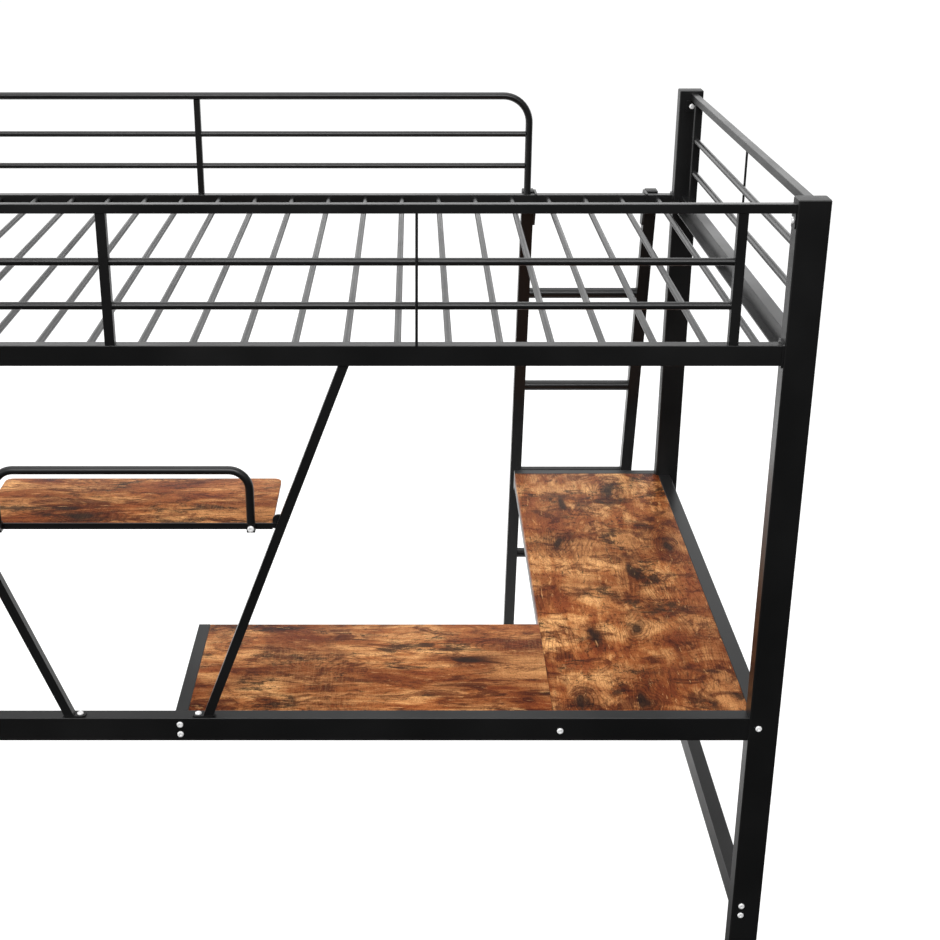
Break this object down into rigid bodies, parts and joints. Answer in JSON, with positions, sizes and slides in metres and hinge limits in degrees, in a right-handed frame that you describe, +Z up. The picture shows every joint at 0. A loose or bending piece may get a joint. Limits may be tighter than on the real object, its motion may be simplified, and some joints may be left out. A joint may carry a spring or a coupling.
{
  "type": "loft bed with desk",
  "caption": "Metal loft bed over an L-shaped desk, with slatted base, guard rails, a V brace carrying a small shelf, and a hook-on ladder.",
  "frame": {"origin": "on the floor, at the middle of the whole footprint with the ladder hooked on", "axes": "+X along the bed towards the desk end, +Y towards the ladder side, +Z up"},
  "size_m": [1.988, 1.3632, 1.46],
  "materials": {
    "black_steel": "satin black powder coat",
    "rustic_wood": "rustic brown wood-grain laminate, satin",
    "bolt_steel": "bright zinc",
    "black_plastic": "matte"
  },
  "bodies": {
    "bed": {"back_guard_bars": "black_steel", "back_guard_loop": "black_steel", "back_guard_upright": "black_steel", "bolts": "bolt_steel", "brace_feet": "black_steel", "brace_left": "black_steel", "brace_right": "black_steel", "centre_support": "black_steel", "desk_arm": "black_steel", "desk_board_front": "rustic_wood", "desk_board_side": "rustic_wood", "desk_cross_rail": "black_steel", "desk_end_rail_left": "black_steel", "desk_end_rail_right": "black_steel", "desk_rail_back": "black_steel", "desk_rail_front": "black_steel", "desk_rear_support": "black_steel", "desk_strips": "black_steel", "end_guard_bars_left": "black_steel", "end_guard_bars_right": "black_steel", "end_guard_top_rail_left": "black_steel", "end_guard_top_rail_right": "black_steel", "end_guard_uprights_left": "black_steel", "end_guard_uprights_right": "black_steel", "end_ledge_left": "black_steel", "end_ledge_right": "black_steel", "end_rail_left": "black_steel", "end_rail_right": "black_steel", "front_guard_bars": "black_steel", "front_guard_top_rail": "black_steel", "front_guard_upright_centre": "black_steel", "front_guard_upright_left": "black_steel", "front_guard_upright_right": "black_steel", "guard_tabs": "black_steel", "guard_wires": "black_steel", "low_stretcher_left": "black_steel", "low_stretcher_right": "black_steel", "post_back_left": "black_steel", "post_back_right": "black_steel", "post_front_left": "black_steel", "post_front_right": "black_steel", "rail_brackets": "black_steel", "shelf_arms": "black_steel", "shelf_board": "rustic_wood", "shelf_guard": "black_steel", "shelf_lugs": "black_steel", "shelf_rail": "black_steel", "side_rail_back": "black_steel", "side_rail_front": "black_steel", "slats_left": "black_steel", "slats_right": "black_steel"},
    "ladder": {"ladder_caps": "black_plastic", "ladder_hooks": "black_steel", "ladder_rail_left": "black_steel", "ladder_rail_right": "black_steel", "ladder_rung_1": "black_steel", "ladder_rung_2": "black_steel", "ladder_rung_3": "black_steel", "ladder_rung_4": "black_steel", "ladder_rung_5": "black_steel"}
  },
  "joints": [
    {"name": "ladder_lift", "type": "slide", "parent": "bed", "child": "ladder", "axis": [0, 0, 1], "range_m": [0, 0.05]}
  ]
}
